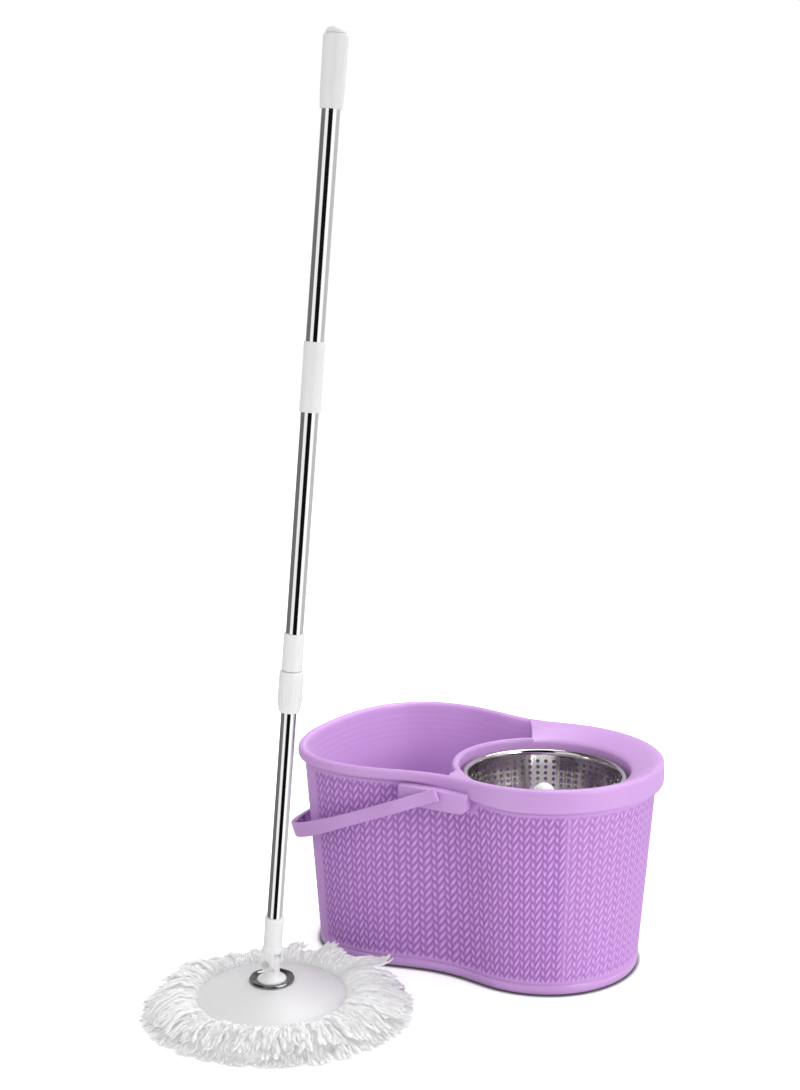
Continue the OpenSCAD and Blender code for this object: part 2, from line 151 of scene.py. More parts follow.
def shell_plastic():
    """Lilac plastic with painted light: its inner walls, whose normals face the bucket's middle, are a little
    lighter.
    """
    m = plastic("lilac_shell", LILAC, 0.36, 0.03, 0.10)
    tree, shader = m.node_tree, m.node_tree.nodes["Principled BSDF"]
    place = tree.nodes.new("ShaderNodeTexCoord")
    level_place, facing = tree.nodes.new("ShaderNodeVectorMath"), tree.nodes.new("ShaderNodeVectorMath")
    level_place.operation, facing.operation = "MULTIPLY", "DOT_PRODUCT"
    level_place.inputs[1].default_value = (1, 1, 0)
    tree.links.new(place.outputs["Object"], level_place.inputs[0])
    tree.links.new(level_place.outputs["Vector"], facing.inputs[0])
    tree.links.new(place.outputs["Normal"], facing.inputs[1])
    # painted light: a mask of the inner walls, which are mixed towards a lighter lilac
    inner_light_mask = map_range(tree, facing.outputs["Value"], -0.02, -0.09)
    painted_inner_light = tree.nodes.new("ShaderNodeMix")
    painted_inner_light.data_type = "RGBA"
    painted_inner_light.inputs["B"].default_value = (*tint(LILAC, 1.22), 1)
    tree.links.new(shader.inputs["Base Color"].links[0].from_socket, painted_inner_light.inputs["A"])
    tree.links.new(inner_light_mask.outputs["Result"], painted_inner_light.inputs["Factor"])
    tree.links.new(painted_inner_light.outputs["Result"], shader.inputs["Base Color"])
    return m


lilac = plastic("lilac_moulded", LILAC, 0.36, 0.03, 0.10)
shell_lilac = shell_plastic()
white = plastic("white_moulded", WHITE, 0.34, 0.015, 0.06)
# painted shade: a darker copy of the white plastic, which offsets the stronger light from above on the disc
shaded_disc_white = plastic("white_disc", (0.66, 0.66, 0.66), 0.34, 0.015, 0.06)
acetal = plastic("acetal_white", (0.80, 0.80, 0.79), 0.30, 0.015, 0.04)
dark = plastic("dark_moulded", (0.045, 0.048, 0.055), 0.42, 0.12, 0.10)

def knit_plastic():
    """The knit wall has painted shade in its grooves; the painted shade comes with the mesh as an attribute.
    """
    m, tree, shader = material("lilac_knit", LILAC, 0.42, IOR=1.46)
    painted_groove_shade = tree.nodes.new("ShaderNodeAttribute")
    painted_groove_shade.attribute_name = "painted_groove_shade"
    # painted shade: dark lilac in the grooves, light on the ridges
    groove = ramp(tree, painted_groove_shade.outputs["Fac"], [(0.0, (0.29, 0.105, 0.42)), (0.5, (0.45, 0.215, 0.565)),
                                                 (1.0, (0.65, 0.39, 0.745))])
    mottle = ramp(tree, noise(tree, 14, 4), [(0.3, (0.96, 0.96, 0.96)), (0.7, (1, 1, 1))])
    both = tree.nodes.new("ShaderNodeMix")
    both.data_type, both.blend_type = "RGBA", "MULTIPLY"
    both.inputs["Factor"].default_value = 1
    tree.links.new(groove, both.inputs["A"])
    tree.links.new(mottle, both.inputs["B"])
    tree.links.new(both.outputs["Result"], shader.inputs["Base Color"])
    bump(tree, shader, noise(tree, 900, 2), 0.12, 0.0002)
    return m


knit = knit_plastic()


def metal(name, base, low, high, stretch):
    m, tree, shader = material(name, base, low, 1.0)
    vary(tree, shader, noise(tree, 30, 3), base, 0.02)
    streaks = noise(tree, 60, 4, stretch)
    vary_rough(tree, shader, streaks, low, high)
    bump(tree, shader, streaks, 0.04, 0.0001)
    return m


tube_metal = metal("chromed_tube", (0.86, 0.865, 0.87), 0.07, 0.13, (8, 8, 0.2))
basket_steel = metal("polished_steel", (0.66, 0.645, 0.63), 0.05, 0.12, (3, 3, 12))
# painted reflection: the trim is given a dark base, standing in for the dark surroundings that it reflects
chrome = metal("chrome_trim", (0.2, 0.2, 0.2), 0.05, 0.10, (4, 4, 4))
plain_steel = metal("zinc_steel", (0.72, 0.73, 0.74), 0.42, 0.55, (4, 4, 4))



def yarn_fibre():
    """The small emission stands in for light scattered between the fibres."""
    m, tree, shader = material("microfibre", YARN, 0.95, Subsurface_Weight=0.8, Subsurface_Scale=0.5,
                               Subsurface_Radius=(0.02, 0.02, 0.02), Emission_Strength=0.14,
                               Emission_Color=(1, 1, 1, 1))
    vary(tree, shader, noise(tree, 45, 4), YARN, 0.015)
    bump(tree, shader, noise(tree, 650, 3, distortion=0.6), 0.25, 0.0006)
    return m


yarn_white = yarn_fibre()

slots = {
    "steel": plain_steel, "stainless": basket_steel, "chromed_tube": tube_metal, "chrome_trim": chrome,
    "lilac_plastic": lilac, "white_plastic": white, "acetal": acetal, "dark_plastic": dark,
    "microfibre": yarn_white}
for entry in frame["record"]["subparts"]:
    nodes[entry["node"]].data.materials.clear()
    nodes[entry["node"]].data.materials.append(slots[entry["material_slot"]])

# ---- mesh helpers ----


def add_mesh(name, points, faces, mat, body, slot, replaces=(), sharp=40, painted_shade_values=None):
    """A piece from points in millimetres. It rides on body and stands for the CAD nodes in replaces."""
    mesh = bpy.data.meshes.new(name)
    mesh.from_pydata([tuple(p) for p in np.asarray(points, float) * MM], [], [tuple(f) for f in faces])
    mesh.validate()
    mesh.update()
    # painted shade for the knit, if given, goes on the mesh as an attribute
    if painted_shade_values is not None:
        mesh.attributes.new("painted_groove_shade", "FLOAT", "POINT").data.foreach_set("value", painted_shade_values)
    mesh.materials.append(mat)
    obj = bpy.data.objects.new(name, mesh)
    bpy.context.scene.collection.objects.link(obj)
    mesh.shade_smooth()
    if sharp:
        mesh.set_sharp_from_angle(angle=math.radians(sharp))
    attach(obj, body)
    if replaces:
        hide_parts(*replaces)


def grid_faces(rows, cols, wrap_cols=False, wrap_rows=False):
    out = []
    for j in range(rows if wrap_rows else rows - 1):
        for i in range(cols if wrap_cols else cols - 1):
            a, b = j * cols, (j + 1) % rows * cols
            k = (i + 1) % cols
            out.append((a + i, a + k, b + k, b + i))
    return out


class Parts:
    """Gathers several closed shapes into one piece."""

    def __init__(self):
        self.points, self.faces = [], []

    def add(self, points, faces):
        n = len(self.points)
        self.points.extend(tuple(p) for p in points)
        self.faces.extend(tuple(n + i for i in f) for f in faces)

    def lathe(self, profile, place, seg=72, closed=False):
        """Turns a profile of (radius, height). It starts and ends on the axis, unless closed."""
        pts, faces, ring = [], [], []
        for r, z in profile:
            if r < 1e-6:
                ring.append([len(pts)] * seg)
                pts.append((0, 0, z))
            else:
                ring.append(list(range(len(pts), len(pts) + seg)))
                pts.extend((r * math.cos(2 * math.pi * k / seg), r * math.sin(2 * math.pi * k / seg), z)
                           for k in range(seg))
        n = len(ring)
        for j in range(n if closed else n - 1):
            a, b = ring[j], ring[(j + 1) % n]
            for k in range(seg):
                f = [a[k], a[(k + 1) % seg], b[(k + 1) % seg], b[k]]
                f = list(dict.fromkeys(f))
                if len(f) > 2:
                    faces.append(f)
        self.add([place(Vector(p)) for p in pts], faces)

    def sweep(self, sections, closed=False):
        """Joins equal closed sections; open ends are capped."""
        m, n = len(sections), len(sections[0])
        faces = grid_faces(m, n, wrap_cols=True, wrap_rows=closed)
        if not closed:
            faces.append(tuple(range(n - 1, -1, -1)))
            faces.append(tuple((m - 1) * n + i for i in range(n)))
        self.add([p for s in sections for p in s], faces)

    def box(self, low, high, place, edge=0.6):
        """A block with chamfered edges."""
        lo, hi = Vector(low), Vector(high)
        edge = min(edge, min(hi - lo) * 0.45)
        pts, index = [], {}
        for x in (0, 1):
            for y in (0, 1):
                for z in (0, 1):
                    c = [hi[k] if v else lo[k] for k, v in enumerate((x, y, z))]
                    s = [-1 if v else 1 for v in (x, y, z)]
                    for axis in range(3):
                        q = [c[k] + (0 if k == axis else s[k] * edge) for k in range(3)]
                        index[x, y, z, axis] = len(pts)
                        pts.append(place(Vector(q)))
        faces = []
        for axis in range(3):
            u, v = (axis + 1) % 3, (axis + 2) % 3
            for side in (0, 1):
                loop = []
                for cu, cv in ((0, 0), (1, 0), (1, 1), (0, 1)):
                    c = [0, 0, 0]
                    c[axis], c[u], c[v] = side, cu, cv
                    loop.append(index[(*c, axis)])
                faces.append(loop if side else loop[::-1])
            for cu, cv in ((0, 0), (1, 0), (1, 1), (0, 1)):
                ends = []
                for e in (0, 1):
                    c = [0, 0, 0]
                    c[axis], c[u], c[v] = e, cu, cv
                    ends.append((index[(*c, u)], index[(*c, v)]))
                loop = [ends[0][0], ends[0][1], ends[1][1], ends[1][0]]
                faces.append(loop if (cu == cv) else loop[::-1])
        for x in (0, 1):
            for y in (0, 1):
                for z in (0, 1):
                    loop = [index[x, y, z, k] for k in range(3)]
                    faces.append(loop if (x + y + z) % 2 else loop[::-1])
        self.add(pts, faces)

    def make(self, *args, **kw):
        add_mesh(args[0], self.points, self.faces, *args[1:], **kw)


def arc(cx, cy, r, a0, a1, n):
    return [(cx + r * math.cos(math.radians(a0 + (a1 - a0) * i / n)),
             cy + r * math.sin(math.radians(a0 + (a1 - a0) * i / n))) for i in range(n + 1)]


def rounded(points, radius, steps):
    """The polygon with its corners rounded. radius is one number or one for each corner."""
    pts = [Vector((p[0], p[1])) for p in points]
    n = len(pts)
    radii = radius if isinstance(radius, (list, tuple)) else [radius] * n
    out = []
    for i, p in enumerate(pts):
        if radii[i] <= 0:
            out.append((p.x, p.y))
            continue
        a, b = pts[i - 1] - p, pts[(i + 1) % n] - p
        cut = min(radii[i], a.length * 0.45, b.length * 0.45)
        a, b = p + a.normalized() * cut, p + b.normalized() * cut
        for k in range(steps + 1):
            t = k / steps
            q = a * (1 - t) ** 2 + p * 2 * t * (1 - t) + b * t ** 2
            out.append((q.x, q.y))
    return out


def at(x, y):
    return lambda p: Vector((p.x + x, p.y + y, p.z))


def turned(degrees, x=0, y=0):
    """Turns a point about the vertical, then moves it by x and y."""
    c, s = math.cos(math.radians(degrees)), math.sin(math.radians(degrees))
    return lambda p: Vector((x + p.x * c - p.y * s, y + p.x * s + p.y * c, p.z))


MOP = (-127, -291)
PIN_Z = 58                      # height of the tilt pin
LEAN = math.radians(5.4)


def on_shaft(p):
    return Vector((MOP[0] + p.x * math.cos(LEAN) + p.z * math.sin(LEAN), MOP[1] + p.y,
                   PIN_Z - p.x * math.sin(LEAN) + p.z * math.cos(LEAN)))


def smooth(t):
    t = np.clip(t, 0, 1)
    return t * t * (3 - 2 * t)


# ---- bucket ----

H = 255                                         # height of the rim
SPIN_X, SPIN_R = 75, 147                        # spinner lobe: middle and radius
WASH_X, WASH_A, WASH_B = -108, 125, 161         # wash lobe: middle and half-axes
WAIST_X, WAIST_B = 9, 140
BX = 78                                         # the basket's axis


def half_wave(x, x0, x1, y0, y1):
    """Runs from y0 at x0 to y1 at x1, level at both ends."""
    return (y0 + y1) / 2 + (y0 - y1) / 2 * math.cos(math.pi * (x - x0) / (x1 - x0))


def side_y(x):
    if x < WAIST_X:
        return half_wave(x, WASH_X, WAIST_X, WASH_B, WAIST_B)
    return half_wave(x, WAIST_X, SPIN_X, WAIST_B, SPIN_R)


def power(u):
    return math.copysign(abs(u) ** (2 / 2.4), u)


def outline_points(n=1600):
    pts = [(SPIN_X + SPIN_R * math.cos(a), SPIN_R * math.sin(a))
           for a in np.linspace(-math.pi / 2, math.pi / 2, n)]
    pts += [(x, side_y(x)) for x in np.linspace(SPIN_X, WASH_X, n)[1:-1]]
    pts += [(WASH_X + WASH_A * power(math.cos(a)), WASH_B * power(math.sin(a)))
            for a in np.linspace(math.pi / 2, 1.5 * math.pi, n)]
    pts += [(x, -side_y(x)) for x in np.linspace(WASH_X, SPIN_X, n)[1:-1]]
    return np.array(pts)


path = outline_points()
steps = np.linalg.norm(np.roll(path, -1, 0) - path, axis=1)
along = np.r_[0, np.cumsum(steps)]
LOOP = along[-1]


def outline(s):
    """Rim outline and outward direction at distance s, anticlockwise from the front of the spinner lobe."""
    s = np.asarray(s, float)
    loop = np.vstack([path, path[:1]])

    def where(q):
        q = q % LOOP
        return np.stack([np.interp(q, along, loop[:, 0]), np.interp(q, along, loop[:, 1])], -1)
    d = where(s + 2.5) - where(s - 2.5)
    d /= np.linalg.norm(d, axis=-1, keepdims=True)
    return where(s), np.stack([d[..., 1], -d[..., 0]], -1)


def s_near(x, y):
    return along[int(np.argmin(np.hypot(path[:, 0] - x, path[:, 1] - y)))]


def band(x):
    return 11 + 15 * smooth((x + 40) / 150)


def wall_inset(z):
    return 7 + 20 * (1 - z / H)


COLS = 540
ring_p, ring_n = outline(np.arange(COLS) * LOOP / COLS)


def level(inset, z, share=0.0):
    xy = ring_p - ring_n * inset
    return np.c_[xy, z - share * band(ring_p[:, 0])]


def inner_inset(z):
    return 10.6 + (z - 250) / (14 - 250) * 18.4


def inner_ridge(z):
    return sum(0.16 * math.exp(-((z - c) / 1.6) ** 2) for c in (240, 232, 224, 216, 208))


shell_levels = [level(33, 1.5), level(31.5, 0.2), level(29, 0), level(27.2, 0.8), level(26.2, 2.5),
                level(25.7, 6), level(25.6, 9.4), level(25.9, 10.8), level(27, 11.8),
                level(wall_inset(14) + 1.6, 14), level(wall_inset(110) + 1.6, 110),
                level(11.2, 250.6, 1), level(9.6, 252.0, 1), level(6, 252.8, 1), level(2.4, 253.6, 1),
                level(0.9, 254.6, 1), level(0.2, 256.2, 1), level(0, 258, 1),
                level(0, 249.5), level(0.2, 251.4), level(0.9, 253.0), level(2.2, 254.3), level(4, 255),
                level(5.5, 255.1), level(7.2, 254.8), level(8.7, 254.0), level(9.8, 252.5),
                level(10.4, 250.5)]
for z in np.linspace(248, 196, 53):
    shell_levels.append(level(inner_inset(z) - inner_ridge(z), z))
for z in (170, 140, 100, 60, 30, 18):
    shell_levels.append(level(inner_inset(z), z))
shell_levels += [level(29.4, 12), level(31, 8.2), level(33.6, 5.4), level(37, 4)]
bucket = Parts()
bucket.sweep([[tuple(p) for p in l] for l in shell_levels])
bucket.lathe([(0, 3), (34, 3), (34, 3.9), (32, 6), (29.5, 20), (13.6, 116), (13, 120.4), (11.8, 122),
              (4, 122), (0, 121.9)], at(BX, 0))
for k in range(6):
    bucket.box((20, -1.2, 3), (44, 1.2, 34), turned(60 * k + 30, BX))
bucket.make("bucket_shell", shell_lilac, "bucket", "lilac_plastic", replaces=["bucket_body"], sharp=50)

# Pivot pads: a plate with rounded lower corners
PIVOT = (3, 234)
for side, label in ((-1, "front"), (1, "back")):
    pads = Parts()
    plan = rounded([(-44, 6.5), (-44, -17), (-15, -17), (15, -17), (44, -17), (44, 6.5), (15, 6.5),
                    (-15, 6.5)], [1, 9, 0, 0, 9, 1, 0, 0], 6)
    sections = []
    for y, shrink in ((None, 0), (151.6, 0), (152.5, 0.5), (153, 1.4)):
        sections.append([(PIVOT[0] + x * (1 - shrink / 44), side * (y or side_y(PIVOT[0] + x) - 9.4),
                          PIVOT[1] - 5 + (z + 5) * (1 - shrink / 12)) for x, z in plan])
    pads.sweep(sections if side < 0 else [s[::-1] for s in sections])
    pads.make("pivot_pad_" + label, lilac, "bucket", "lilac_plastic", replaces=["bucket_body"], sharp=50)

# Knit walls: one heightfield along each half of the bucket
PITCH_Z, V_COUNT = 10.4, 44     # height of a stitch and how many lie along each half
SHARE = 2 / 3                   # share of a stitch's width that its wide leg takes
PARTING = 53                    # degrees round the spinner lobe where a line parts the knit
GROOVE, TUCK = 1.25, 2.2        # depth of the grooves, and of the first and last rows inside the wall
tip_wash, tip_spin = s_near(-233, 0), s_near(222, 0)


def knit_half(name, s0, s1, cols=560, rows=166):
    s = np.linspace(s0, s1, cols)
    p, n = outline(s)
    low, high = 11.6, 252.6 - band(p[:, 0])
    v = np.linspace(0, 1, rows)[:, None]
    z = low + (high - low)[None, :] * v
    u = (s - s0) / (s1 - s0) * V_COUNT % 1
    rising = u < SHARE              # wide legs and, half a stitch off, narrow ones
    a = np.where(rising, u / SHARE, (u - SHARE) / (1 - SHARE))[None, :]
    phase = z / PITCH_Z - np.where(rising, 4 / 3, -1 / 3)[None, :] * a + np.where(rising, 0, 1 / 6)[None, :]
    height = ((1 + np.cos(2 * math.pi * phase)) / 2) ** 0.7 * np.sin(math.pi * np.clip(a, 0.02, 0.98)) ** 0.6
    angle = np.degrees(np.arctan2(np.abs(p[:, 1]), p[:, 0] - SPIN_X))
    x = p[:, 0]
    end = smooth((PARTING + 4 - angle) / 4)
    contrast = 1 - 0.42 * end - 0.35 * smooth((-186 - x) / 6)       # flatter at both ends of the bucket
    parting = 1 - 0.6 * np.exp(-((angle - PARTING) / 0.6) ** 2)
    # A plain strip runs down the wash lobe, between x -192 and -170
    corner = np.where(x < -100, 1 - smooth((-166 - x) / 4) * smooth((x + 196) / 4), 1)
    edge = smooth((z - low - 3) / 4) * smooth(((high - 4)[None, :] - z) / 4)
    pad = 1 - smooth((50 - np.abs(x - PIVOT[0])) / 3)[None, :] * smooth((z - 213) / 3)
    weight = (parting * corner)[None, :] * edge * pad
    inset = wall_inset(z) + GROOVE * (1 - height) * contrast[None, :] * weight - 0.1
    inset[[0, -1]] += TUCK
    pts = np.stack([p[None, :, 0] - n[None, :, 0] * inset, p[None, :, 1] - n[None, :, 1] * inset, z], -1)
    # painted shade: the grooves are darkened in colour, less so where the pattern is flattened
    shade = np.where(weight > 0.02, 1 - (1 - height * 0.96) * weight * (0.45 + 0.55 * contrast[None, :]), 1)
    shade = 0.5 + (shade - 0.5) * (0.35 + 0.65 * weight)
    add_mesh(name, pts.reshape(-1, 3), grid_faces(rows, cols), knit, "bucket", "lilac_plastic",
             replaces=["bucket_body"], sharp=0, painted_shade_values=np.clip(shade, 0, 1).ravel().astype(np.float32))


knit_half("knit_wall_front", tip_wash, tip_spin + LOOP)
knit_half("knit_wall_back", tip_spin, tip_wash)

# ---- deck over the spinner lobe ----

COLLAR, LIP_R, LIP_Z = 104.5, 113, 243


def deck_profile(r, lobe):
    """Section of the deck from the well's foot, up the outside, over the top and back. lobe blends 0 to 1."""
    wall = COLLAR + 2.5
    edge = 240 * lobe + LIP_Z * (1 - lobe)
    out_low = (241 - edge + 14) * lobe
    top = 254.95 * lobe + (LIP_Z - 1.6) * (1 - lobe)
    back = 4.2 * lobe
    pts = [(COLLAR, 190), (wall, 190), (wall, edge - 15), (wall + 1.4, edge - 14),
           (r - 0.4 - back, edge - 15 + out_low), (r - back, edge - 14 + out_low),
           (r - 0.6 * back, top - 4.5), (r - 0.2, top - 1.2), (r - 0.6, top - 0.3)]
    span = r - COLLAR
    for t in (0.86, 0.72, 0.58, 0.44, 0.32, 0.22, 0.14):
        rho = COLLAR + span * t
        slope = edge + (top - edge) * (1 - (1 - t) ** 1.35) ** 1.15
        crest = LIP_Z - 1.2 * abs(2 * t - 1) ** 2
        pts.append((rho, slope * lobe + crest * (1 - lobe)))
    pts += [(COLLAR + 1.3, edge - 0.4 - 0.6 * (1 - lobe)), (COLLAR + 0.4, edge - 1.6), (COLLAR, edge - 3.6),
            (COLLAR, edge - 8)]
    return pts


deck_sections = []
s_from, s_to = s_near(14, -side_y(14)), s_near(-1.25, side_y(-1.25))
lobe_s = np.linspace(s_from, s_to + LOOP, 240)
lobe_p, lobe_n = outline(lobe_s)
rim_edge = lobe_p - lobe_n * 7.0
stations = [(math.atan2(q[1], q[0] - BX), math.hypot(q[0] - BX, q[1]), 1.0) for q in rim_edge]
a_back, r_back = stations[-1][0], stations[-1][1]
a_front, r_front = stations[0][0] + 2 * math.pi, stations[0][1]
lip_end = math.radians(222)
for t in (0.04, 0.1, 0.3, 0.6, 0.85, 0.95):
    r = r_back + (LIP_R + 1.5 - r_back) * t
    stations.append((a_back + 0.022 * t, r, 1 - float(smooth((t - 0.1) / 0.8))))
for a in np.linspace(a_back + 0.03, lip_end, 110):
    stations.append((a, LIP_R, 0.0))
tip_xy, rim_xy = (np.array([r * math.cos(a), r * math.sin(a)])
                  for a, r in ((lip_end, LIP_R), (a_front, r_front)))
for t in (0.03, 0.08, 0.15, 0.24, 0.34, 0.45, 0.56, 0.67, 0.78, 0.88, 0.95):
    q = tip_xy + (rim_xy - tip_xy) * t + np.array([-7, 3]) * math.sin(math.pi * t) * (1 - t)
    stations.append((math.atan2(q[1], q[0]) + 2 * math.pi, float(np.hypot(*q)), 0.75 * float(smooth(t))))
for a, r, lobe in stations:
    deck_sections.append([(BX + q * math.cos(a), q * math.sin(a), z) for q, z in deck_profile(r, lobe)])
deck = Parts()
deck.sweep(deck_sections, closed=True)
deck.make("spinner_deck_moulding", lilac, "bucket", "lilac_plastic", replaces=["spinner_deck"], sharp=55)

# ---- basket ----


def holed(parts, place, u0, u1, v0, v1, nu, nv, hole, aspect):
    """A sheet of nu by nv cells on place(u, v, side), each with a round hole through both faces."""
    du, dv = (u1 - u0) / nu, (v1 - v0) / nv
    pts, faces, seen = [], [], {}

    def vert(u, v, side):
        key = (round((u - u0) / du * 100) % (nu * 100) if wrap else round((u - u0) / du * 100),
               round((v - v0) / dv * 100), side)
        if key not in seen:
            seen[key] = len(pts)
            pts.append(place(u, v, side))
        return seen[key]
    wrap = abs((u1 - u0) - 2 * math.pi) < 1e-6
    outer = [(1, 0), (1, 1), (0, 1), (-1, 1), (-1, 0), (-1, -1), (0, -1), (1, -1)]
    for j in range(nv):
        for i in range(nu):
            cu, cv = u0 + (i + 0.5) * du, v0 + (j + 0.5) * dv
            rim = {}
            for side in (0, 1):
                rim[side] = [vert(cu + a * du / 2, cv + b * dv / 2, side) for a, b in outer]
            inner = {}
            for side in (0, 1):
                inner[side] = []
                for k in range(8):
                    q = math.pi / 4 * k
                    inner[side].append(len(pts))
                    pts.append(place(cu + hole * math.cos(q) / aspect(cv), cv + hole * math.sin(q), side))
            for k in range(8):
                m = (k + 1) % 8
                for side in (0, 1):
                    f = (rim[side][k], rim[side][m], inner[side][m], inner[side][k])
                    faces.append(f if side else f[::-1])
                faces.append((inner[1][k], inner[1][m], inner[0][m], inner[0][k]))
    parts.add(pts, faces)


def wall_radius(z):
    return 86 + (z - 152) / (225 - 152) * 8


basket = Parts()
holed(basket, lambda u, v, side: Vector((BX + (wall_radius(v) - 1.2 * side) * math.cos(u),
                                         (wall_radius(v) - 1.2 * side) * math.sin(u), v)),
      0, 2 * math.pi, 153, 221, 56, 9, 2.45, wall_radius)
holed(basket, lambda u, v, side: Vector((BX + v * math.cos(u), v * math.sin(u), 142 + 1.2 * side)),
      0, 2 * math.pi, 25, 75, 40, 6, 1.9, lambda v: v)
basket.lathe([(75, 142)] + arc(76, 152, 10, -90, 0, 8)[1:] + [(86.1, 153)] + [(84.9, 153)]
             + arc(76, 152, 8.8, 0, -90, 8) + [(75, 143.2)], at(BX, 0), 96, closed=True)
basket.lathe([(93.56, 221), (93.9, 224), (94.3, 227.6), (95.2, 228.6), (97.4, 227.6), (99.2, 227.2),
              (100, 228.6), (99.9, 230), (99, 231.4), (97, 232), (95, 231.7), (93.6, 230.6), (92.9, 228.4),
              (92.7, 224), (92.36, 221)], at(BX, 0), 144, closed=True)
basket.lathe([(10.2, 142), (25, 142), (25, 143.2), (10.2, 143.2)], at(BX, 0), 80, closed=True)
basket.make("perforated_basket", basket_steel, "basket", "stainless", replaces=["spin_basket"], sharp=35)

hub = Parts()
hub.lathe([(0, 143.4), (23.2, 143.4), (24, 144), (24, 147.4), (23.2, 148.2), (21, 148.4), (20.2, 149.4),
           (14.2, 203)] + [(r, z) for r, z in arc(0, 204, 14, 0, 90, 10)][:-1] + [(0, 218)], at(BX, 0), 64)
for k in range(6):
    hub.box((12, -0.9, 148), (21.8, 0.9, 160), turned(60 * k, BX), 0.4)
hub.make("hub_dome", white, "basket", "white_plastic", replaces=["basket_hub"])

# ---- bail ----

DROOP = math.radians(22.4)
ARM_Y = 163                     # the arms' inner faces, past their bend
GRIP_Y = 118                    # half-length of the hand grip


def on_bail(p):
    return Vector((PIVOT[0] + p.x * math.cos(DROOP) - p.z * math.sin(DROOP), p.y,
                   PIVOT[1] + p.x * math.sin(DROOP) + p.z * math.cos(DROOP)))


def bail_bow(t, a):
    """A point of the bow round the wash lobe, at parameter a from its arm (0) to its middle (90)."""
    a = math.radians(a)
    return WASH_X - (145 + t) * math.sin(a) ** 0.741, (ARM_Y + t) * abs(math.cos(a)) ** 0.741


def bail_line(t, grip=0.0):
    """One side of the strap from the pivot to the middle of the bow, offset t from its inner face.
    Grip moves it outwards behind the hand grip."""
    pts = [(x, y + t) for x, y in ((11, 156.5), (0, 156.5), (-14, 156.5), (-25, 158.0), (-37, 161.4),
                                   (-48, ARM_Y), (-68, ARM_Y), (-88, ARM_Y))]
    for k in range(31):
        x, y = bail_bow(t, 3 * k)
        pts.append(bail_bow(t + grip, 3 * k) if y < GRIP_Y else (x, y))
    pts[-1] = (pts[-1][0], 0.0)
    return pts


def both_sides(line):
    return line + [(x, -y) for x, y in line[-2::-1]]


bail = Parts()
inner, outer = both_sides(bail_line(0, 2.6)), both_sides(bail_line(5))
sections = []
for (x0, y0), (x1, y1) in zip(inner, outer):
    ring = []
    wide = 1 + 0.2 * smooth((-x0 - 110) / 70)           # the strap widens a little along the bow
    for share, z in ((0.22, -7.5), (0.78, -7.5), (0.95, -7.15), (1, -6.3), (1, 6.3), (0.95, 7.15),
                     (0.78, 7.5), (0.22, 7.5), (0.05, 7.15), (0, 6.3), (0, -6.3), (0.05, -7.15)):
        ring.append(on_bail(Vector((x0 + (x1 - x0) * share, y0 + (y1 - y0) * share, z * wide))))
    sections.append(ring)
bail.sweep(sections)
flange = [[p for p in both_sides(bail_line(t)) if abs(p[1]) < GRIP_Y] for t in (-2.8, 3.2)]
for z in (-8.7, 6.9):
    bail.sweep([[on_bail(Vector((*flange[i][k], z + dz))) for i, dz in ((0, 0), (1, 0), (1, 1.8), (0, 1.8))]
                for k in range(min(map(len, flange)))])
for k in range(11):
    y = -112 + 22.4 * k
    a = math.degrees(math.acos((abs(y) / ARM_Y) ** 1.35))
    foot, tip = Vector(bail_bow(0, a)), Vector(bail_bow(5, a))
    n = (tip - foot).normalized()
    if y < 0:
        foot.y, n.y = -foot.y, -n.y
    bail.box((-2.7, -0.9, -7.6), (3.4, 0.9, 7.6), lambda p, f=foot, n=n: on_bail(
        Vector((f.x + n.x * p.x - n.y * p.y, f.y + n.y * p.x + n.x * p.y, p.z))), 0.4)
for side in (-1, 1):
    bail.lathe([(0, 0), (6, 0), (6, 11), (0, 11)],
               lambda p, s=side: on_bail(Vector((p.x, s * (146.5 + p.z), -p.y * s))), 48)
bail.make("bail_strap", lilac, "bail", "lilac_plastic", replaces=["bail_handle"], sharp=50)

# ---- mop head ----


DISC_R = 84


def plate_z(r):
    return 35.7 - 17.7 * (max(0, r - 18) / 66) ** 1.7


top_profile = []
for r in np.linspace(18, DISC_R, 34):
    groove_line = 0.45 * math.exp(-((r - 78) / 0.9) ** 2) + 0.25 * math.exp(-((r - 31) / 0.8) ** 2)
    top_profile.append((r, plate_z(r) - groove_line))
plate = Parts()
underside = [(r, plate_z(r) - 3.2) for r in np.linspace(80, 20, 16)]
plate.lathe([(7.1, 35.7), (17.9, 35.7)] + top_profile + [(84.7, 17.2), (84.6, 15.6), (83.8, 14.9), (82, 15.2)]
            + underside + [(13, 32.5), (13, 16.4), (7.1, 16.4)], at(*MOP), 128, closed=True)
plate.lathe([(49.5, 8), (52, 8), (52, plate_z(52) - 2.8), (49.5, plate_z(49.5) - 2.8)],
            at(*MOP), 96, closed=True)
for k in range(12):
    plate.box((13, -0.8, 20), (49.8, 0.8, 26.5), turned(30 * k, *MOP), 0.3)
plate.make("mop_disc", shaded_disc_white, "mop_head", "white_plastic", replaces=["mop_plate"])

# Bright ring: inside its outer edge the metal waves in and out six times round
ring = Parts()
seg, profile = 144, [(17.4, 35.9), (24.8, 35.9), (25.6, 36.6), (25.6, 37.6), (24.9, 38.5), (23.6, 38.8),
                     (21.8, 38.3), (19.6, 37.2), (17.4, 36.9)]
sections = []
for k in range(seg):
    a = 2 * math.pi * k / seg
    wave = 0.55 * math.cos(6 * a)
    waved = [(r + (wave if 18 < r <= 25 else 0.0), z) for r, z in profile]
    sections.append([(MOP[0] + r * math.cos(a), MOP[1] + r * math.sin(a), z) for r, z in waved])
ring.sweep(sections, closed=True)
ring.make("bright_ring", chrome, "mop_head", "chrome_trim", replaces=["hub_ring"])

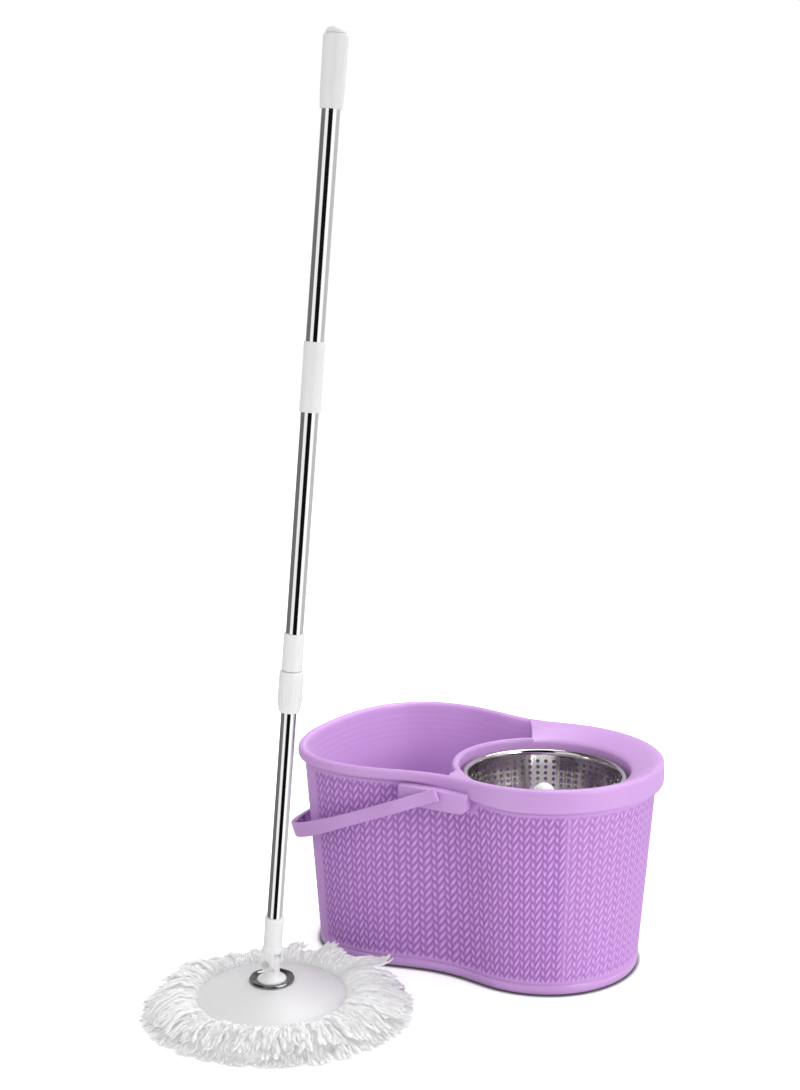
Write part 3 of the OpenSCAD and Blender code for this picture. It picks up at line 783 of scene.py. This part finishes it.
knuckle = Parts()
knuckle.lathe([(0, 16.2), (6.6, 16.2), (7, 16.8), (7, 36.2), (15.8, 36.3), (16.5, 36.8), (16.4, 37.8),
               (15.6, 38.8), (13.2, 40.2), (10.4, 42), (9.2, 43.6), (8.4, 46), (7.2, 48.2), (0, 48.4)],
              at(*MOP), 64)
neck = rounded([(-7.5, -5.75), (7.5, -5.75), (7.5, 5.75), (-7.5, 5.75)], 1.2, 3)
knuckle.sweep([[(MOP[0] + x, MOP[1] + y, z) for x, y in neck] for z in (40, 46, 52, 57.8)])
knuckle.lathe([(0, 0), (7.4, 0), (8, 0.6), (8, 11.2), (7.4, 11.8), (0, 11.8)],
              lambda p: Vector((MOP[0] + p.x, MOP[1] - 5.9 + p.z, PIN_Z - p.y)), 48)
knuckle.make("swivel_hub", white, "swivel_block", "white_plastic", replaces=["swivel_knuckle"])

# Yarn: seeded wavy strands gathered in tufts, from under the disc's edge to the floor
rng = random.Random(58)


def strand(parts, points, radius, sides=5):
    sections, side = [], None
    twist = rng.uniform(0, 6.28)
    for i, p in enumerate(points):
        d = (points[min(i + 1, len(points) - 1)] - points[max(i - 1, 0)]).normalized()
        side = (side if side is not None else Vector((0, 0, 1)).cross(d))
        side = (side - d * side.dot(d)).normalized()
        other = d.cross(side)
        t = i / (len(points) - 1)
        r = radius * (0.78 + 0.22 * math.sin(6 * t * math.pi + twist)) * min(1.0, 0.5 + (1 - t) * 7)
        turns = [2 * math.pi * k / sides for k in range(sides)]
        sections.append([p + (side * 1.3 * math.cos(q) + other * 0.7 * math.sin(q)) * r for q in turns])
    parts.sweep(sections)


def yarn_reach(angle):
    """The yarn spreads further to the sides than to the front and the back."""
    turn = angle + YAW
    return 145 + 12.5 * math.cos(2 * turn) + 6.5 * math.cos(turn)


TUFTS, EACH = 66, 20
ROOT_R = 83             # the strands start just under the disc's edge
BUCKET_Y = -146.5       # no strand goes past here, so they stay clear of the bucket at rest
RAISED = (61, 90)       # directions of two tufts that stand up beside the bucket
layers = [Parts(), Parts()]
for k in range(TUFTS):
    middle = 2 * math.pi * (k + rng.uniform(-0.3, 0.3)) / TUFTS
    far = yarn_reach(middle)
    reach, peak = far * rng.uniform(0.91, 1.0), rng.uniform(14, 22)
    at_back = max(0.0, math.sin(middle + YAW))
    lean = rng.gauss(0, 0.035)
    perk = rng.choice((0, rng.uniform(0, 12), rng.uniform(5, 14 + 10 * at_back)))
    if min(abs(math.degrees(middle) - a) for a in RAISED) < 3.4:
        perk = 28
    for n in range(EACH):
        base = middle + (n / (EACH - 1) - 0.5) * 0.125 + rng.gauss(0, 0.012)
        tip = middle + lean + (base - middle) * rng.uniform(0.35, 0.9) + rng.gauss(0, 0.012)
        length = DISC_R + (reach - DISC_R) * rng.choice((rng.uniform(0.5, 0.9), rng.uniform(0.86, 1.0)))
        top = peak * rng.uniform(0.72, 1.0)
        sway, sway_n, sway_p = rng.uniform(0.8, 2.6), rng.uniform(1.2, 2.8), rng.uniform(0, 6.28)
        lift, lift_p = rng.uniform(0.3, 1.2), rng.uniform(0, 6.28)
        curl, settle = rng.choice((-1, 1)) * rng.uniform(0, 5), rng.uniform(0.8, 2.4)
        low = n % 4 == 0                # a quarter of the strands lie on the floor and close the fringe
        if low:
            base, tip = base + rng.gauss(0, 0.03), tip + rng.gauss(0, 0.04)
            top, length = 12, DISC_R + (far - DISC_R) * rng.uniform(0.9, 1.0)
        pts = []
        for i in range(14):
            t = i / 13
            r = ROOT_R + (length - ROOT_R) * t
            out = (r - ROOT_R) / (far - ROOT_R)
            angle = base + (tip - base) * t ** 1.2
            across = sway * math.sin(sway_n * 2 * math.pi * t + sway_p) * min(1, 4 * t)
            across += curl * max(0, t - 0.7) * 3
            hill = 12 + (top - 2) * math.sin(math.pi * min(1, 0.12 + 0.95 * out)) ** 1.1
            hill -= 9.5 * float(smooth(out * 1.2))
            z = hill + lift * math.sin(sway_n * 9 * t + lift_p) * (1 - 0.5 * out)
            z += (0 if low else perk) * out ** 2
            under_disc = 14.5 + 26 * float(smooth(out * 5))
            settled = 42 - (37 - perk) * float(smooth((out - 0.5) / settle))
            z = min(max(z, 2.9), 40.5, under_disc, settled)
            q = Vector((MOP[0] + r * math.cos(angle) - across * math.sin(angle),
                        MOP[1] + r * math.sin(angle) + across * math.cos(angle), z))
            q.y = min(q.y, BUCKET_Y)
            pts.append(q)
        strand(layers[n % 2], pts, rng.uniform(2.1, 2.9))
for name, parts in zip(("yarn_strands_a", "yarn_strands_b"), layers):
    parts.make(name, yarn_white, "mop_head", "microfibre", replaces=["yarn"], sharp=0)

# Backing the strands are sewn to, hidden under them
backing = Parts()
backing.lathe([(42, 0.6), (120, 0.6), (125, 2), (123, 8), (117, 13), (107, 16), (97, 16), (90, 14.6),
               (86.6, 13.9), (79.4, 13.9), (79.4, 6.6), (42, 6.6)], at(*MOP), 120, closed=True)
backing.make("yarn_backing", yarn_white, "mop_head", "microfibre", replaces=["yarn"])

# ---- shaft ----

yoke = Parts()
for low in (-11.4, 6.35):
    yoke.lathe([(0, 0), (7.8, 0), (8.4, 0.7), (8.4, 4.35), (7.8, 5.05), (0, 5.05)],
               lambda p, low=low: on_shaft(Vector((p.x, low + p.z, -p.y))), 56)
    leg = rounded([(-8.3, low + 0.1), (8.3, low + 0.1), (8.3, low + 4.95), (-8.3, low + 4.95)], 0.9, 3)
    yoke.sweep([[on_shaft(Vector((x, y, z))) for x, y in leg] for z in (0, 8, 14)])
yoke.lathe([(0, 12), (9.8, 12), (11, 12.7), (11.4, 14), (11.3, 16.5), (10.6, 18.4), (10.2, 20),
            (10.35, 30), (10.7, 49), (10.8, 53.4), (10.4, 54.3), (9.6, 54.5), (8.7, 54.5), (8.7, 27),
            (0, 27)], on_shaft, 64)
yoke.make("fork", white, "lower_shaft", "white_plastic", replaces=["yoke"])


def sleeve(name, outer, bore, body, node, edge=0.9, ribs=None):
    """A white fitting turned round the shaft: outer is (radius, station) from low to high.
    ribs are (number, inner radius, outer radius, lowest station, highest station)."""
    prof = rounded([(bore, outer[0][1])] + outer + [(bore, outer[-1][1])],
                   [0.2] + [edge] + [0.6] * (len(outer) - 2) + [edge] + [0.2], 4)
    part = Parts()
    part.lathe(prof, on_shaft, 72, closed=True)
    if ribs:
        count, low_r, high_r, foot, head = ribs
        for k in range(count):
            turn = turned(360 * k / count)
            part.box((low_r - 0.6, -0.5, foot), (high_r, 0.5, head),
                     lambda p, turn=turn: on_shaft(turn(p)), 0.25)
    part.make(name, white, body, "white_plastic", replaces=[node])


sleeve("lock_ring_cap", [(11.6, 297), (13, 305), (13.15, 322), (13.4, 339.5), (12.4, 343.5)], 9.05,
       "lock_ring_body", "lock_ring", ribs=(24, 13.1, 13.5, 308, 336))
sleeve("collar_sleeve", [(11.5, 344), (11.4, 360), (11.2, 385.5)], 9.5, "upper_handle", "lock_collar")
sleeve("coupling_cover", [(11, 625.5), (11.25, 632), (10.9, 640), (10.9, 684), (11.25, 692), (11, 699)], 9.5,
       "upper_handle", "coupling_sleeve")
grip = Parts()
grip.lathe(rounded([(9.5, 931.5), (11.4, 931.5), (12.0, 940), (12.4, 951.5), (12.7, 975), (12.9, 1000.5),
                    (12.4, 1003.2), (9.5, 1004)], [0.2, 1.0, 0.5, 0.5, 0.5, 1.0, 0.8, 0.2], 4),
           on_shaft, 72, closed=True)
grip.make("grip_sleeve", white, "upper_handle", "white_plastic", replaces=["grip"])
cap = Parts()
dome = [(11 * math.cos(math.radians(q)), 1004.2 + 7.8 * math.sin(math.radians(q))) for q in range(8, 90, 9)]
cap.lathe([(0, 994.2), (9.4, 994.2), (9.4, 1003.6), (11, 1004.1)] + dome + [(0, 1012)], on_shaft, 64)
cap.make("grip_dome", white, "upper_handle", "white_plastic", replaces=["grip_cap"])

# ---- floor, world and lights ----

FLOOR, FLOOR_Z = 9, -0.0006             # metres


def contact_shade(tree, place):
    """Dark in the narrow gap under the bucket; the yarn's own shadow stays pale."""
    near = tree.nodes.new("ShaderNodeAmbientOcclusion")
    near.inputs["Distance"].default_value = 0.014
    dim = map_range(tree, near.outputs["AO"], 0.5, 0.8)
    side = tree.nodes.new("ShaderNodeSeparateXYZ")
    tree.links.new(place.outputs["Object"], side.inputs["Vector"])
    mop_side = map_range(tree, side.outputs["Y"], -0.19, -0.165, 0.75, 0.0)
    tree.links.new(mop_side.outputs["Result"], dim.inputs["To Min"])
    return dim.outputs["Result"]


def floor_white():
    """White paper. The camera also sees it glow a little, more so away from the bucket."""
    m, tree, shader = material("floor_white", (0.95, 0.95, 0.95), 0.9)
    paper = ramp(tree, noise(tree, 3, 2), [(0.3, (0.935, 0.935, 0.935)), (0.7, (0.945, 0.945, 0.945))])
    place = tree.nodes.new("ShaderNodeTexCoord")
    distance = tree.nodes.new("ShaderNodeVectorMath")
    distance.operation = "LENGTH"
    tree.links.new(place.outputs["Object"], distance.inputs[0])
    fade = map_range(tree, distance.outputs["Value"], 0.35, 1.0, 0.42, 0.55)
    dim = contact_shade(tree, place)
    under = tree.nodes.new("ShaderNodeMix")
    under.data_type, under.blend_type = "RGBA", "MULTIPLY"
    under.inputs["Factor"].default_value = 0.85
    tree.links.new(paper, under.inputs["A"])
    tree.links.new(dim, under.inputs["B"])
    tree.links.new(under.outputs["Result"], shader.inputs["Base Color"])
    shaded = tree.nodes.new("ShaderNodeMath")
    shaded.operation = "MULTIPLY"
    tree.links.new(fade.outputs["Result"], shaded.inputs[0])
    tree.links.new(dim, shaded.inputs[1])
    fill = tree.nodes.new("ShaderNodeEmission")
    tree.links.new(shaded.outputs["Value"], fill.inputs["Strength"])
    clear = tree.nodes.new("ShaderNodeBsdfTransparent")
    clear.inputs["Color"].default_value = (0, 0, 0, 1)
    glow, both = tree.nodes.new("ShaderNodeMixShader"), tree.nodes.new("ShaderNodeAddShader")
    tree.links.new(tree.nodes.new("ShaderNodeLightPath").outputs["Is Camera Ray"], glow.inputs["Fac"])
    tree.links.new(clear.outputs[0], glow.inputs[1])
    tree.links.new(fill.outputs[0], glow.inputs[2])
    tree.links.new(shader.outputs[0], both.inputs[0])
    tree.links.new(glow.outputs[0], both.inputs[1])
    tree.links.new(both.outputs[0], tree.nodes["Material Output"].inputs["Surface"])
    return m


floor = bpy.data.objects.new("floor", bpy.data.meshes.new("floor"))
corners = [(x * FLOOR, y * FLOOR, FLOOR_Z) for x, y in ((-1, -1), (1, -1), (1, 1), (-1, 1))]
floor.data.from_pydata(corners, [], [(0, 1, 2, 3)])
floor.data.materials.append(floor_white())
bpy.context.scene.collection.objects.link(floor)
floor.visible_glossy = False
for name in ("bucket_shell", "knit_wall_front", "knit_wall_back"):
    bpy.data.objects[name].visible_glossy = False       # keeps a purple stripe off the chromed tube

# What polished metal reflects: pairs of degrees round from the camera's side and brightness
STUDIO = [(-180, 0.5), (-150, 0.5), (-144, 0.17), (-66, 0.17), (-60, 1.0), (-25, 1.0), (-20, 0.004),
          (30, 0.004), (35, 1.2), (74, 1.2), (80, 0.6), (180, 0.6)]
SOFT_LIGHT = 0.86                       # brightness of the even light on everything else


def math_node(tree, op, a, b=None):
    n = tree.nodes.new("ShaderNodeMath")
    n.operation = op
    for k, v in enumerate((a, b)):
        if v is None:
            continue
        if isinstance(v, (int, float)):
            n.inputs[k].default_value = v
        else:
            tree.links.new(v, n.inputs[k])
    return n.outputs[0]


def background(tree, strength):
    n = tree.nodes.new("ShaderNodeBackground")
    n.inputs["Color"].default_value = (1, 1, 1, 1)
    n.inputs["Strength"].default_value = strength
    return n


def choose(tree, fac, off, on):
    mix = tree.nodes.new("ShaderNodeMixShader")
    tree.links.new(fac, mix.inputs["Fac"])
    tree.links.new(off, mix.inputs[1])
    tree.links.new(on, mix.inputs[2])
    return mix.outputs["Shader"]


def studio_bands(tree, split):
    """Upright bands round the set. Their angle is in turns, with the camera's side at 0.5."""
    camera_side = math.atan2(-math.cos(YAW), -math.sin(YAW))
    azimuth = math_node(tree, "ARCTAN2", split.outputs["Y"], split.outputs["X"])
    from_camera = math_node(tree, "SUBTRACT", azimuth, camera_side)
    turns = math_node(tree, "ADD", math_node(tree, "DIVIDE", from_camera, 2 * math.pi), 0.5)
    bands = tree.nodes.new("ShaderNodeValToRGB")
    elements = bands.color_ramp.elements
    for k, (deg, v) in enumerate(STUDIO):
        pos = 0.5 + deg / 360
        e = elements[0] if k == 0 else (elements[-1] if k == len(STUDIO) - 1 else elements.new(pos))
        e.position = pos
        e.color = (v, v, v, 1)
    tree.links.new(math_node(tree, "FRACT", turns), bands.inputs["Fac"])
    return bands.outputs["Color"]


def studio_world():
    """White to the camera, even light on surfaces, and banded light in reflections."""
    world = bpy.data.worlds.new("studio")
    bpy.context.scene.world = world
    world.use_nodes = True
    tree = world.node_tree
    tree.nodes.clear()
    out = tree.nodes.new("ShaderNodeOutputWorld")
    split = tree.nodes.new("ShaderNodeSeparateXYZ")
    tree.links.new(tree.nodes.new("ShaderNodeTexCoord").outputs["Generated"], split.inputs["Vector"])
    pattern = background(tree, 1.0)
    tree.links.new(studio_bands(tree, split), pattern.inputs["Color"])
    ceiling = map_range(tree, split.outputs["Z"], 0.5, 0.85, 1.0, 0.2)
    tree.links.new(ceiling.outputs["Result"], pattern.inputs["Strength"])
    seen, soft = background(tree, 1.0), background(tree, SOFT_LIGHT)
    ray = tree.nodes.new("ShaderNodeLightPath")
    lit = choose(tree, ray.outputs["Is Glossy Ray"], soft.outputs[0], pattern.outputs[0])
    shown = choose(tree, ray.outputs["Is Camera Ray"], lit, seen.outputs[0])
    tree.links.new(shown, out.inputs["Surface"])


studio_world()


def lamp(name, place, target, size, energy, spread=180):
    light = bpy.data.lights.new(name, "AREA")
    light.shape, light.size, light.energy, light.spread = "DISK", size, energy, math.radians(spread)
    obj = bpy.data.objects.new(name, light)
    obj.location = place
    obj.rotation_euler = (Vector(target) - Vector(place)).to_track_quat("-Z", "Y").to_euler()
    bpy.context.scene.collection.objects.link(obj)


lamp("key", (2.5, -0.75, 1.1), (0.12, 0.06, 0.0), 1.0, 1.5, 38)
lamp("top", (0.3, 1.2, 2.9), (0, 0, 0), 2.4, 56)

bpy.context.view_layer.update()
